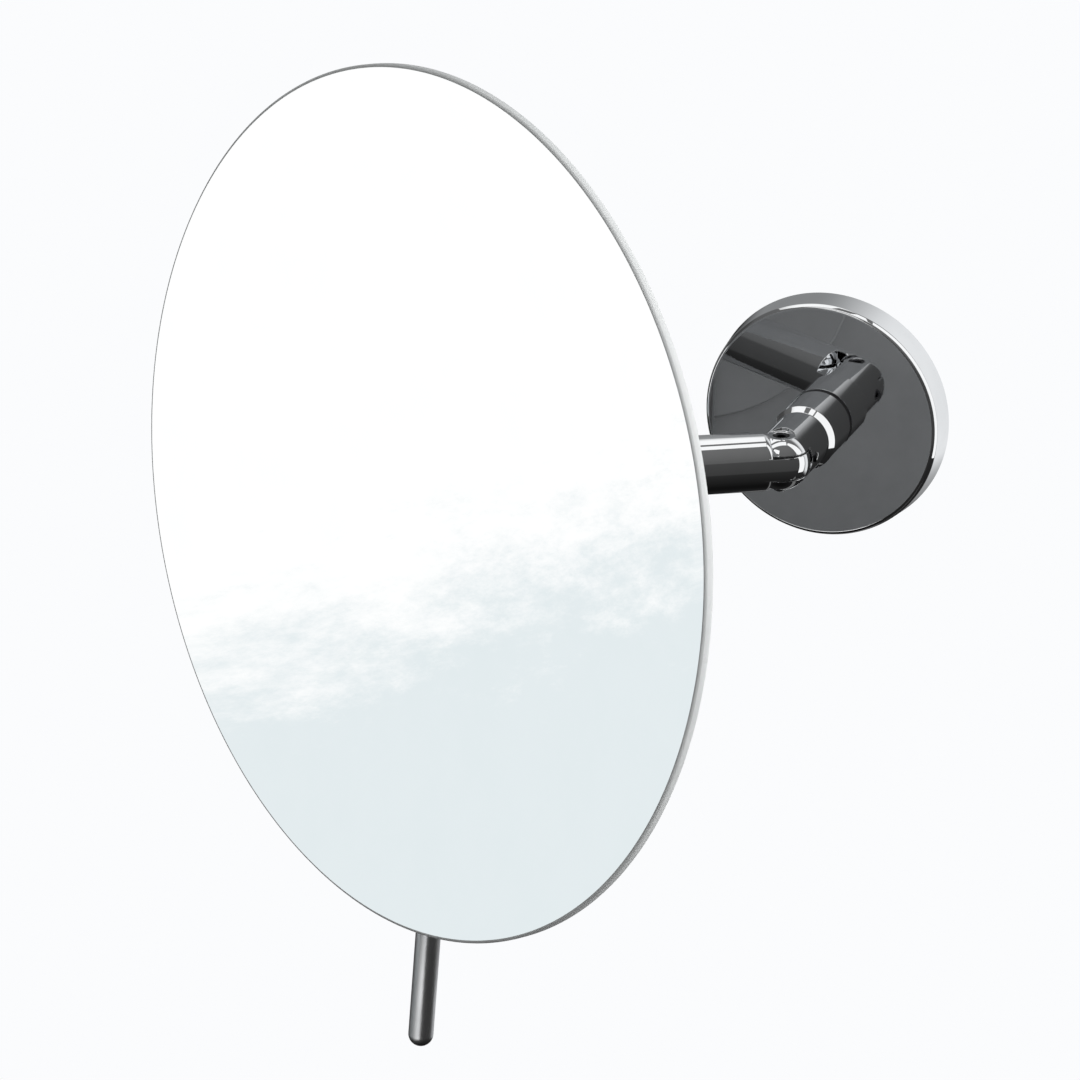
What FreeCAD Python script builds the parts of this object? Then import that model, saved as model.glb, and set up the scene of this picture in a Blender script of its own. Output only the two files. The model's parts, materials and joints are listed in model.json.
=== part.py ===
import FreeCAD, Part
import math
import os
from FreeCAD import Placement, Rotation, Vector

# Wall-mounted makeup mirror on a folding arm, in millimetres.
# Origin: centre of the wall rose on the wall plane. +Z up, +Y into the wall, the room is towards -Y.

# Pose of the three knuckles at rest, in degrees from the straight position
arm_swing = 58.2
head_swing = 30.1
mirror_tilt = 5.7

# Clearances
running_gap = 0.05
seat_gap = 0.02
side_gap = 0.03
knuckle_gap = 0.4
brake_gap = 0.3
screw_gap = 0.3

# Wall rose
rose_diameter = 60.0
rose_depth = 8.0
rose_draft = 0.9
rose_edge_round = 1.3
rose_side_wall = 2.4
rose_face_wall = 2.2

# Wall bracket inside the rose
bracket_face_gap = 1.3
bracket_rim_gap = 0.25
bracket_opening = 22.0
bracket_edge_chamfer = 0.6
wall_hole_diameter = 5.0
wall_hole_countersink = 9.4
wall_hole_spacing = 38.0

# Set screw that locks the rose on the bracket
lock_screw_diameter = 3.0
lock_screw_length = 4.2
lock_screw_socket = 1.5
lock_screw_socket_depth = 1.8
lock_screw_recess = 0.4

# Round bar shared by the post, the arm, the swivel head and the hub
bar_diameter = 14.0
collar_diameter = 16.0
collar_taper = 1.7

# Knuckle: a tongue between two ears on a pin
tongue_thickness = 5.4
washer_thickness = 0.35
washer_margin = 0.2
shoulder_setback = 2.1
shoulder_round = 2.5
pin_diameter = 4.0
pin_proud = 0.75
pin_recess = 2.4
pin_socket = 2.0
pin_socket_depth = 1.2

# Brake screw that bears on the end of the tongue
brake_screw_diameter = 2.5
brake_screw_setback = 5.2
brake_screw_socket = 1.3
brake_screw_socket_depth = 0.6
brake_screw_recess = 0.25

# Post between the rose and the elbow pin
elbow_reach = 28.6
post_shoulder = 7.2
post_washer_thickness = 0.8
post_bolt_diameter = 6.0
post_bolt_grip = 9.0
post_bolt_bottom = 2.0
post_bolt_head_diameter = 10.0
post_bolt_wall_gap = 1.2
post_bolt_socket = 4.0
post_bolt_socket_depth = 2.0
spring_washer_thickness = 1.2
spring_washer_diameter = 10.8
spring_washer_split = 1.4

# Arm, pin to pin, and the solid waist of the swivel head between its knuckles
arm_length = 52.6
head_waist = 3.7

# Hub on the back of the mirror
hub_shoulder = 0.6
hub_collar_length = 7.6
hub_bolt_diameter = 5.0
hub_bolt_head_diameter = 9.6
hub_bolt_grip = 4.4
hub_bolt_bottom = 0.6
hub_bolt_socket = 3.0
hub_bolt_socket_depth = 1.2

# Back plate, glue pad, safety film and glass
plate_diameter = 80.0
plate_thickness = 3.0
plate_edge_chamfer = 0.8
pad_margin = 2.0
pad_thickness = 0.8
film_margin = 1.0
film_thickness = 0.25
mirror_diameter = 200.0
mirror_curve_radius = 1000.0
glass_thickness = 2.4
glass_arris = 0.45

# Handle rod under the mirror
rod_diameter = 6.0
rod_overhang = 36.6
rod_plate_gap = 1.3
rod_stud_diameter = 4.0
rod_stud_clearance = 0.28
rod_seat_depth = 1.6
rod_seat_margin = 0.15

# Radii and lengths that several pieces share
bar_radius = bar_diameter / 2
collar_radius = collar_diameter / 2
pin_radius = pin_diameter / 2
ear_clear_radius = bar_radius + knuckle_gap
slot_height = tongue_thickness + 2 * (washer_thickness + side_gap)
rose_radius = rose_diameter / 2
rose_bore_radius = rose_radius - rose_side_wall
rose_inner_face = rose_depth - rose_face_wall
bracket_radius = rose_bore_radius - bracket_rim_gap
bracket_thickness = rose_inner_face - bracket_face_gap
lock_screw_depth = bracket_thickness / 2
lock_screw_outer = rose_radius - rose_draft * lock_screw_depth / rose_depth - lock_screw_recess
lock_screw_inner = lock_screw_outer - lock_screw_length
elbow_depth = rose_depth + elbow_reach
post_end = elbow_reach - post_washer_thickness
head_length = 2 * ear_clear_radius + head_waist
hub_neck = ear_clear_radius + hub_shoulder
hub_end = hub_neck + hub_collar_length
plate_face = hub_end + plate_thickness
film_face = plate_face + pad_thickness
glass_face = film_face + film_thickness
mirror_radius = mirror_diameter / 2
curve_centre = glass_face + glass_thickness + mirror_curve_radius
glass_back_radius = mirror_curve_radius + glass_thickness
film_back_radius = glass_back_radius + film_thickness
rod_radius = rod_diameter / 2
rod_setback = hub_end - rod_plate_gap - rod_radius
rod_seat = collar_radius - rod_seat_depth
rod_stud_end = hub_bolt_diameter / 2 + rod_stud_clearance
rod_reach = mirror_radius + rod_overhang

# Long enough for a cut to pass right through any bar
far = 4 * bar_diameter

x_axis = Vector(1, 0, 0)
y_axis = Vector(0, 1, 0)
z_axis = Vector(0, 0, 1)
origin = Vector(0, 0, 0)


def turned(points):
    """A solid of revolution about the y axis from (radius, position) points."""
    corners = [Vector(radius, position, 0) for radius, position in points]
    face = Part.Face(Part.makePolygon(corners + corners[:1]))
    return face.revolve(origin, y_axis, 360)


def edge_rounded(shape, radius, position, size):
    """A turned shape with its edge at a radius and a position along y rounded over."""
    ring = [
        edge for edge in shape.Edges
        if edge.isClosed()
        and math.isclose(edge.CenterOfMass.y, position, abs_tol=0.001)
        and math.isclose(edge.Length, math.tau * radius, abs_tol=0.001)
    ]
    return shape.makeFillet(size, ring)


def round_bar(axis, radius, start, end, through=origin):
    """A round bar along an axis, from start to end, through a point."""
    return Part.makeCylinder(radius, end - start, through + axis * start, axis)


def hexagon(axis, across_flats, start, end, through=origin):
    """A hexagonal prism along an axis, for a key socket."""
    corner = across_flats / math.sqrt(3)
    turns = [math.radians(60 * i) for i in range(7)]
    ring = [Vector(corner * math.cos(turn), corner * math.sin(turn), 0) for turn in turns]
    prism = Part.Face(Part.makePolygon(ring)).extrude(z_axis * (end - start))
    prism.Placement = Placement(through + axis * start, Rotation(z_axis, axis))
    return prism


def block(x_range, y_range, z_range):
    """A rectangular block between the given limits."""
    size = [high - low for low, high in (x_range, y_range, z_range)]
    return Part.makeBox(*size, Vector(x_range[0], y_range[0], z_range[0]))


def moved(shape, placement):
    """A copy of a shape in another frame."""
    copy = shape.copy()
    copy.Placement = placement.multiply(copy.Placement)
    return copy


# Turns a knuckle about its bar, so that its upright pin lies level and its brake screw is on top
level_pin = Placement(origin, Rotation(y_axis, -90))


# Knuckle pieces: the pin stands on the origin along z


def ball_ended_bar(start, end):
    """A bar along y whose end at the pin is a ball about the pin."""
    return round_bar(y_axis, bar_radius, start, end).fuse(Part.makeSphere(bar_radius))


def shouldered_bar(length):
    """A bar along y that ends short of the pin, with its end edge rounded over."""
    bar = round_bar(y_axis, bar_radius, -length, -shoulder_setback)
    return edge_rounded(bar, bar_radius, -shoulder_setback, shoulder_round)


def fork(neck, folds):
    """The end of a bar with two ears round a pin: the bar runs towards +y as far as neck.

    A fork that folds has its slot cut back on the -x side, where the tongue swings.
    """
    slot = Part.makeSphere(ear_clear_radius).fuse(block((-far, far), (-far, 0), (-far, far)))
    if folds:
        slot = slot.fuse(block((-far, 0), (-far, ear_clear_radius), (-far, far)))
    slot = slot.common(block((-far, far), (-far, far), (-slot_height / 2, slot_height / 2)))
    pin_hole = round_bar(z_axis, pin_radius + seat_gap, -far, far)
    screw_hole = round_bar(brake_direction(), brake_screw_diameter / 2 + seat_gap, bar_radius, far)
    return ball_ended_bar(0, neck).cut(slot).cut(pin_hole).cut(screw_hole)


def tongue(length, folds):
    """The end of a bar with a flat eye on a pin: the bar runs towards -y for the given length.

    The shoulders behind the eye are hollowed to follow the balls of the ears.
    """
    hollow = Part.makeSphere(ear_clear_radius)
    if folds:
        hollow = hollow.fuse(block((-far, 0), (-ear_clear_radius, far), (-far, far)))
    level = (-tongue_thickness / 2, tongue_thickness / 2)
    eye = ball_ended_bar(-length, 0).common(block((-far, far), (-far, far), level))
    shape = shouldered_bar(length).cut(hollow).fuse(eye).removeSplitter()
    return shape.cut(round_bar(z_axis, pin_radius + running_gap, -far, far))


def brake_direction():
    """The way from the pin along a brake screw, level with the tongue."""
    return Vector(bar_radius, brake_screw_setback, 0).normalize()


def brake_screw():
    """A headless screw with a key socket, its tip a little off the end of the tongue."""
    radial = brake_direction()
    outer = math.hypot(bar_radius, brake_screw_setback) - brake_screw_recess
    screw = round_bar(radial, brake_screw_diameter / 2, bar_radius + brake_gap, outer)
    return screw.cut(hexagon(radial, brake_screw_socket, outer - brake_screw_socket_depth, outer))


def knuckle_pin():
    """A pin pressed into the ears: domed at one end, with a key socket deep in the other ear."""
    top = bar_radius - pin_recess
    tip = Vector(0, 0, -bar_radius - pin_proud)
    shoulder = Vector(pin_radius, 0, -math.sqrt(bar_radius ** 2 - pin_radius ** 2))
    crown_height = shoulder.z - tip.z
    crown_radius = (pin_radius ** 2 + crown_height ** 2) / (2 * crown_height)
    half_way = math.asin(pin_radius / crown_radius) / 2
    crown_drop = crown_radius * (1 - math.cos(half_way))
    middle = Vector(crown_radius * math.sin(half_way), 0, tip.z + crown_drop)
    sides = Part.makePolygon([tip, Vector(0, 0, top), Vector(pin_radius, 0, top), shoulder])
    crown = Part.Arc(shoulder, middle, tip).toShape()
    pin = Part.Face(Part.Wire(sides.Edges + [crown])).revolve(origin, z_axis, 360)
    return pin.cut(hexagon(z_axis, pin_socket, top - pin_socket_depth, top))


def knuckle_washer(start):
    """A slip washer that fills the gap between an ear and the tongue, from start upwards."""
    radius = math.sqrt(bar_radius ** 2 - (slot_height / 2) ** 2) - washer_margin
    ring = round_bar(z_axis, radius, start, start + washer_thickness)
    return ring.cut(round_bar(z_axis, pin_radius + running_gap, -far, far))


def collared_fork(neck, end, folds):
    """A fork whose bar widens over a short taper to a collar."""
    collar = turned([
        (0, neck),
        (bar_radius, neck),
        (collar_radius, neck + collar_taper),
        (collar_radius, end),
        (0, end),
    ])
    return fork(neck, folds).fuse(collar).removeSplitter()


# Pieces on the wall, in the frame of the whole object


def wall_rose():
    """A shallow cup with drafted sides and a rounded front edge, open to the wall."""
    edge_radius = rose_radius - rose_draft
    bolt_hole = post_bolt_diameter / 2 + screw_gap
    cup = turned([
        (bolt_hole, -rose_depth),
        (edge_radius, -rose_depth),
        (rose_radius, 0),
        (rose_bore_radius, 0),
        (rose_bore_radius, -rose_inner_face),
        (bolt_hole, -rose_inner_face),
    ])
    cup = edge_rounded(cup, edge_radius, -rose_depth, rose_edge_round)
    return cup.cut(lock_screw_hole(bracket_radius))


def lock_screw_hole(start):
    """The set screw's hole, downwards from a distance below the middle of the rose."""
    radius = lock_screw_diameter / 2 + seat_gap
    return round_bar(-z_axis, radius, start, rose_diameter, y_axis * -lock_screw_depth)


def wall_bracket():
    """A ring screwed to the wall, with countersunk holes and a seat for the set screw in its rim."""
    opening = bracket_opening / 2
    front = -bracket_thickness
    ring = turned([
        (opening, front),
        (bracket_radius - bracket_edge_chamfer, front),
        (bracket_radius, front + bracket_edge_chamfer),
        (bracket_radius, 0),
        (opening, 0),
    ])
    hole = wall_hole_diameter / 2
    sink = wall_hole_countersink / 2
    cutter = turned([(0, front), (sink, front), (hole, front + sink - hole), (hole, 0), (0, 0)])
    for side in (-1, 1):
        ring = ring.cut(moved(cutter, Placement(x_axis * side * wall_hole_spacing / 2, Rotation())))
    return ring.cut(lock_screw_hole(lock_screw_inner - seat_gap))


def rose_lock_screw():
    """A headless set screw with a key socket, reached from under the rose."""
    middle = y_axis * -lock_screw_depth
    screw = round_bar(-z_axis, lock_screw_diameter / 2, lock_screw_inner, lock_screw_outer, middle)
    socket_end = lock_screw_outer - lock_screw_socket_depth
    return screw.cut(hexagon(-z_axis, lock_screw_socket, socket_end, lock_screw_outer, middle))


def post_washer():
    """A thin black ring between the rose and the collar of the post."""
    ring = round_bar(y_axis, collar_radius, -rose_depth - post_washer_thickness, -rose_depth)
    return ring.cut(round_bar(y_axis, post_bolt_diameter / 2 + screw_gap, -far, far))


def post():
    """The post: a collar with a blind threaded hole at the back and the elbow's fork at the front."""
    shape = collared_fork(ear_clear_radius + post_shoulder, post_end, True)
    bottom = post_end - post_bolt_grip - post_bolt_bottom
    return shape.cut(round_bar(y_axis, post_bolt_diameter / 2 + seat_gap, bottom, post_end))


def post_bolt():
    """A low-headed bolt that draws the post onto the rose from inside the cup."""
    seat = spring_washer_thickness - rose_inner_face
    tip = -rose_depth - post_washer_thickness - post_bolt_grip
    head_end = -post_bolt_wall_gap
    bolt = round_bar(y_axis, post_bolt_diameter / 2, tip, seat)
    bolt = bolt.fuse(round_bar(y_axis, post_bolt_head_diameter / 2, seat, head_end))
    return bolt.cut(hexagon(y_axis, post_bolt_socket, head_end - post_bolt_socket_depth, head_end))


def post_spring_washer():
    """A split ring under the head of the post bolt."""
    seat = y_axis * -rose_inner_face
    ring = round_bar(y_axis, spring_washer_diameter / 2, 0, spring_washer_thickness, seat)
    ring = ring.cut(round_bar(y_axis, post_bolt_diameter / 2 + seat_gap, -far, far))
    return ring.cut(block((-spring_washer_split / 2, spring_washer_split / 2), (-far, far), (0, far)))


# The arm: its own frame has the elbow pin at the origin and the far pin towards -y


def arm():
    """A round bar with a tongue at both ends."""
    near_end = tongue(arm_length / 2, True)
    far_end = moved(near_end, Placement(y_axis * -arm_length, Rotation(z_axis, 180)))
    return near_end.fuse(far_end).removeSplitter()


# The swivel head: its own frame has the swivel pin at the origin and the mirror towards +y


def swivel_head():
    """A short bar with a fork on an upright pin behind and a tongue for the level tilt pin in front."""
    middle = head_length / 2
    front = moved(tongue(middle, False), level_pin)
    front = moved(front, Placement(y_axis * head_length, Rotation()))
    return fork(middle, True).fuse(front).removeSplitter()


# Pieces of the mirror: their frame has the tilt pin at the origin along x and the glass towards +y


def hub():
    """The hub: a fork for the tilt pin on a collar that is bolted to the back plate."""
    shape = moved(collared_fork(hub_neck, hub_end, False), level_pin)
    bolt_bottom = hub_end - hub_bolt_grip - hub_bolt_bottom
    shape = shape.cut(round_bar(y_axis, hub_bolt_diameter / 2 + seat_gap, bolt_bottom, hub_end))
    middle = y_axis * rod_setback
    shape = shape.cut(round_bar(-z_axis, rod_radius + rod_seat_margin, rod_seat, far, middle))
    stud_hole = rod_stud_diameter / 2 + seat_gap
    return shape.cut(round_bar(-z_axis, stud_hole, rod_stud_end - seat_gap, far, middle))


def handle_rod():
    """A round rod screwed into the hub from below, with a hemispherical tip."""
    middle = y_axis * rod_setback
    rod = round_bar(-z_axis, rod_radius, rod_seat, rod_reach - rod_radius, middle)
    rod = rod.fuse(Part.makeSphere(rod_radius, middle - z_axis * (rod_reach - rod_radius)))
    stud = round_bar(-z_axis, rod_stud_diameter / 2, rod_stud_end, rod_seat, middle)
    return rod.fuse(stud).removeSplitter()


def back_plate():
    """A round plate glued to the mirror, countersunk for the hub bolt on the glued side."""
    radius = plate_diameter / 2
    hole = hub_bolt_diameter / 2 + screw_gap
    sink = hub_bolt_head_diameter / 2 + seat_gap
    return turned([
        (hole, hub_end),
        (radius - plate_edge_chamfer, hub_end),
        (radius, hub_end + plate_edge_chamfer),
        (radius, plate_face),
        (sink, plate_face),
        (hole, plate_face + hole - sink),
    ])


def hub_bolt():
    """A countersunk bolt through the back plate into the hub, flush with the glued side."""
    shank = hub_bolt_diameter / 2
    head = hub_bolt_head_diameter / 2
    tip = hub_end - hub_bolt_grip
    neck = plate_face + shank - head
    bolt = turned([(0, tip), (shank, tip), (shank, neck), (head, plate_face), (0, plate_face)])
    return bolt.cut(hexagon(y_axis, hub_bolt_socket, plate_face - hub_bolt_socket_depth, plate_face))


def on_sphere(sphere_radius, radius):
    """The point at a radius on a sphere about the centre of the mirror's curve."""
    return Vector(radius, curve_centre - math.sqrt(sphere_radius ** 2 - radius ** 2), 0)


def meridian(sphere_radius, radius):
    """The arc on that sphere from the mirror's axis out to a radius."""
    points = [on_sphere(sphere_radius, share * radius) for share in (0, 0.5, 1)]
    return Part.Arc(*points).toShape()


def dished(back, rim, front):
    """A dish turned about the mirror's axis, from its back curve, the points of its rim and its front curve."""
    poles = [curve.Vertexes[0].Point for curve in (front, back)]
    edges = [back, front] + Part.makePolygon(rim).Edges
    edges.append(Part.LineSegment(*poles).toShape())
    outline = Part.Wire(Part.__sortEdges__(edges))
    return Part.Face(outline).revolve(origin, y_axis, 360)


def mirror_glass():
    """The magnifying mirror: a shallow dish of even thickness with a polished rim."""
    inner = mirror_radius - glass_arris
    back_edge = on_sphere(glass_back_radius, inner)
    front_edge = on_sphere(mirror_curve_radius, inner)
    rim = [
        back_edge,
        back_edge + Vector(glass_arris, glass_arris, 0),
        front_edge + Vector(glass_arris, -glass_arris, 0),
        front_edge,
    ]
    return dished(meridian(glass_back_radius, inner), rim, meridian(mirror_curve_radius, inner))


def safety_film():
    """A thin film over the back of the glass that holds it together if it breaks."""
    radius = mirror_radius - film_margin
    rim = [on_sphere(film_back_radius, radius), on_sphere(glass_back_radius, radius)]
    return dished(meridian(film_back_radius, radius), rim, meridian(glass_back_radius, radius))


def glue_pad():
    """A foam pad: flat on the back plate, hollowed to the back of the mirror."""
    radius = plate_diameter / 2 - pad_margin
    edge = Vector(radius, plate_face, 0)
    flat = Part.LineSegment(Vector(0, plate_face, 0), edge).toShape()
    rim = [edge, on_sphere(film_back_radius, radius)]
    return dished(flat, rim, meridian(film_back_radius, radius))


# Where each frame stands at rest

wall_frame = Placement()
elbow_frame = Placement(y_axis * -elbow_depth, Rotation())
arm_frame = elbow_frame.multiply(Placement(origin, Rotation(z_axis, -arm_swing)))
head_turn = Placement(y_axis * -arm_length, Rotation(z_axis, 180 + head_swing))
head_frame = arm_frame.multiply(head_turn)
mirror_frame = head_frame.multiply(Placement(y_axis * head_length, Rotation(x_axis, mirror_tilt)))
tilt_frame = mirror_frame.multiply(level_pin)

pieces = {
    "wall_bracket": (wall_bracket(), wall_frame),
    "wall_rose": (wall_rose(), wall_frame),
    "rose_lock_screw": (rose_lock_screw(), wall_frame),
    "post_washer": (post_washer(), wall_frame),
    "post": (post(), elbow_frame),
    "post_bolt": (post_bolt(), wall_frame),
    "post_spring_washer": (post_spring_washer(), wall_frame),
    "arm": (arm(), arm_frame),
    "swivel_head": (swivel_head(), head_frame),
    "hub": (hub(), mirror_frame),
    "handle_rod": (handle_rod(), mirror_frame),
    "back_plate": (back_plate(), mirror_frame),
    "hub_bolt": (hub_bolt(), mirror_frame),
    "glue_pad": (glue_pad(), mirror_frame),
    "safety_film": (safety_film(), mirror_frame),
    "mirror_glass": (mirror_glass(), mirror_frame),
}

for knuckle, frame in (("elbow", elbow_frame), ("swivel", head_frame), ("tilt", tilt_frame)):
    pieces[knuckle + "_pin"] = (knuckle_pin(), frame)
    pieces[knuckle + "_brake_screw"] = (brake_screw(), frame)
    pieces[knuckle + "_washer_dome_side"] = (knuckle_washer(-slot_height / 2), frame)
    pieces[knuckle + "_washer_socket_side"] = (knuckle_washer(slot_height / 2 - washer_thickness), frame)

os.makedirs("parts", exist_ok=True)
for name, (shape, frame) in pieces.items():
    placed = moved(shape, frame)
    placed.exportStep("parts/" + name + ".step")
    print(name, "solids", len(placed.Solids), "valid", placed.isValid(), "mm3", round(placed.Volume, 1))

for name, frame, axis in (
    ("elbow pin", elbow_frame, z_axis),
    ("swivel pin", head_frame, z_axis),
    ("tilt pin", mirror_frame, x_axis),
):
    direction = frame.Rotation.multVec(axis)
    print(name, "at", [round(value, 3) for value in frame.Base], "along", [round(value, 5) for value in direction])
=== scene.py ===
# %% [markdown]
# # A makeup mirror on a folding wall arm
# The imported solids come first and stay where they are. Each piece that shows is then made
# again around them as a finer mesh, because polished metal betrays every flat of a coarse one.

# %% Load the fixed frame
import json
import math
import bmesh
import bpy
from mathutils import Matrix, Vector


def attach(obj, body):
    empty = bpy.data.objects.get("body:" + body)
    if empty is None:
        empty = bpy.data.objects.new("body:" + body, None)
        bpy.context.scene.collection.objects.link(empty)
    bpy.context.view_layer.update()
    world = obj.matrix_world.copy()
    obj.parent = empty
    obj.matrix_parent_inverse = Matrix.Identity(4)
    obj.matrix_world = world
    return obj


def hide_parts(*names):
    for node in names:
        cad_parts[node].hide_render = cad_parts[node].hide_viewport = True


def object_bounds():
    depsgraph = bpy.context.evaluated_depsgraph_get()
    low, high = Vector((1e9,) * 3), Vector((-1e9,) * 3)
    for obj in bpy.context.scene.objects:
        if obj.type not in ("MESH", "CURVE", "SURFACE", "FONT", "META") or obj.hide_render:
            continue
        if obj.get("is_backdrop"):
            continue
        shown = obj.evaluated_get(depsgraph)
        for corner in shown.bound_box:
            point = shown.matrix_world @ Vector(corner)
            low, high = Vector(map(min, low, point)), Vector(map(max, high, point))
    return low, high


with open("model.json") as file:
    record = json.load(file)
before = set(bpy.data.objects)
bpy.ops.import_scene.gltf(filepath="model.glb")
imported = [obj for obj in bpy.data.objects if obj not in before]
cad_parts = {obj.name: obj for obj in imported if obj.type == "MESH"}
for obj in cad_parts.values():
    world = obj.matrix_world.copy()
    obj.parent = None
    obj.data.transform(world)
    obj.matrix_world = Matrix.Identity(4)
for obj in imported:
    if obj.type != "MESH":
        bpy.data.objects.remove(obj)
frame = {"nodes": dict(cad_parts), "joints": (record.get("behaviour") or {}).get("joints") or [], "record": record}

cad_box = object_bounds()
mm = 0.001

# %% [markdown]
# The three hinge pins say where everything is. Every piece below is modelled in a simple
# frame of its own, with its pin or its turning axis at the origin, and one matrix then
# puts its points where the solid has them. So the finished objects all stay at the origin.

# %% Places of the pins and the frames they carry
joints = {joint["name"]: joint for joint in frame["joints"]}
elbow_pin = Vector(joints["elbow_swing"]["pos_m"])
swivel_pin = Vector(joints["mirror_swivel"]["pos_m"])
tilt_pin = Vector(joints["mirror_tilt"]["pos_m"])
tilt_axis = Vector(joints["mirror_tilt"]["axis"]).normalized()
up = Vector((0, 0, 1))


def frame_at(point, x_axis, y_axis):
    """A matrix that puts the origin at a point, with the given directions for x and y."""
    axes = Matrix((x_axis, y_axis, x_axis.cross(y_axis))).transposed()
    return Matrix.Translation(point) @ axes.to_4x4()


def along_bar(pin, direction):
    """A frame at an upright pin whose y axis runs along a level bar."""
    return frame_at(pin, direction.cross(up), direction)


def flat_normal(node):
    """The direction that the largest flat face of a node looks in."""
    return max(frame["nodes"][node].data.polygons, key=lambda face: face.area).normal.copy()


face_normal = flat_normal("back_plate")
if face_normal.dot(tilt_pin - swivel_pin) < 0:
    face_normal.negate()

wall_place = Matrix.Identity(4)
elbow_place = Matrix.Translation(elbow_pin)
arm_place = along_bar(elbow_pin, (elbow_pin - swivel_pin).normalized())
head_place = along_bar(swivel_pin, (tilt_pin - swivel_pin).normalized())
mirror_place = frame_at(tilt_pin, tilt_axis, face_normal)
# This quarter turn is written out, because a turn by an angle is off by a rounding error, and
# surfaces that almost touch can spoil the milling of the hub.
level_pin = Matrix(((0, 0, -1, 0), (0, 1, 0, 0), (1, 0, 0, 0), (0, 0, 0, 1)))
tilt_place = mirror_place @ level_pin
print("mirror looks along", [round(value, 4) for value in face_normal])

# %% [markdown]
# The sizes are read from the solids, each in the frame where its box is tightest. The glass is
# kept a hair smaller than its solid, so that the finer circle stays inside the coarse one's box.

# %% Measure the solids


def extent(node, place):
    """Lowest and highest corner of a node, seen in another frame."""
    back = place.inverted()
    points = [back @ vertex.co for vertex in frame["nodes"][node].data.vertices]
    low = Vector([min(point[i] for point in points) for i in range(3)])
    high = Vector([max(point[i] for point in points) for i in range(3)])
    return low, high


rose_low, rose_high = extent("wall_rose", wall_place)
ring_low, ring_high = extent("post_washer", wall_place)
arm_high = extent("arm", arm_place)[1]
post_high = extent("post", elbow_place)[1]
pin_low, pin_high = extent("elbow_pin", elbow_place)
slip_low, slip_high = extent("elbow_washer_socket_side", elbow_place)
hub_high = extent("hub", mirror_place)[1]
plate_low, plate_high = extent("back_plate", mirror_place)
pad_low, pad_high = extent("glue_pad", mirror_place)
film_high = extent("safety_film", mirror_place)[1]
glass_low, glass_high = extent("mirror_glass", mirror_place)
rod_low, rod_high = extent("handle_rod", mirror_place)
bar_radius = arm_high.z
collar_radius = post_high.x
pin_radius = pin_high.x
rose_radius = rose_high.x
rose_depth = -rose_low.y
inside = 0.01 * mm
mirror_radius = glass_high.x - inside
arm_length = (swivel_pin - elbow_pin).length
head_length = (tilt_pin - swivel_pin).length
radius_of = {"bar": bar_radius, "collar": collar_radius, "rose": rose_radius, "glass": mirror_radius}
for name, size in radius_of.items():
    print(name, "radius", round(size / mm, 2), "mm")

# %% [markdown]
# ## Finishes
# Polished metal is never one even grey: fingers leave a soft haze and wiping leaves hair
# lines. Both are needed on several finishes, so they are built once, as a node group that
# gives out plain masks, and each material decides what the masks do.

# %% A node group for marks of handling
haze_scale = 60.0
line_scale = 900.0


def add_node(tree, kind, place, **inputs):
    """Adds a node to a tree at a grid place and sets its inputs by name."""
    node = tree.nodes.new(kind)
    node.location = (220 * place[0], -260 * place[1])
    for name, value in inputs.items():
        node.inputs[name.replace("_", " ")].default_value = value
    return node


def handling_marks():
    """A group: object coordinates in, a haze mask and a hair line mask out."""
    group = bpy.data.node_groups.new("handling marks", "ShaderNodeTree")
    sockets = group.interface
    sockets.new_socket("Vector", in_out="INPUT", socket_type="NodeSocketVector")
    for name, start in (("Haze Scale", haze_scale), ("Line Scale", line_scale)):
        socket = sockets.new_socket(name, in_out="INPUT", socket_type="NodeSocketFloat")
        socket.default_value = start
    for name in ("Haze", "Lines"):
        sockets.new_socket(name, in_out="OUTPUT", socket_type="NodeSocketFloat")
    source = add_node(group, "NodeGroupInput", (0, 0))
    haze = add_node(group, "ShaderNodeTexNoise", (1, 0), Detail=5.0, Roughness=0.62)
    haze_range = add_node(group, "ShaderNodeMapRange", (2, 0), From_Min=0.42, From_Max=0.72)
    stretch = add_node(group, "ShaderNodeMapping", (1, 1), Scale=(1.0, 0.06, 1.0))
    lines = add_node(group, "ShaderNodeTexNoise", (2, 1), Detail=3.0, Roughness=0.7)
    line_range = add_node(group, "ShaderNodeMapRange", (3, 1), From_Min=0.45, From_Max=0.8)
    target = add_node(group, "NodeGroupOutput", (4, 0))
    link = group.links.new
    link(source.outputs["Vector"], haze.inputs["Vector"])
    link(source.outputs["Haze Scale"], haze.inputs["Scale"])
    link(haze.outputs["Fac"], haze_range.inputs["Value"])
    link(source.outputs["Vector"], stretch.inputs["Vector"])
    link(stretch.outputs["Vector"], lines.inputs["Vector"])
    link(source.outputs["Line Scale"], lines.inputs["Scale"])
    link(lines.outputs["Fac"], line_range.inputs["Value"])
    link(haze_range.outputs["Result"], target.inputs["Haze"])
    link(line_range.outputs["Result"], target.inputs["Lines"])
    return group


marks = handling_marks()
print("group", marks.name, [item.name for item in marks.interface.items_tree])

# %% [markdown]
# A finish is a Principled shader with the group in front of it: the haze mixes two close
# colours and two roughness values, and the hair lines go to a very shallow bump.

# %% One builder for the hard finishes
bump_depth = 0.02 * mm
metal = 1.0
not_metal = 0.0


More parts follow.
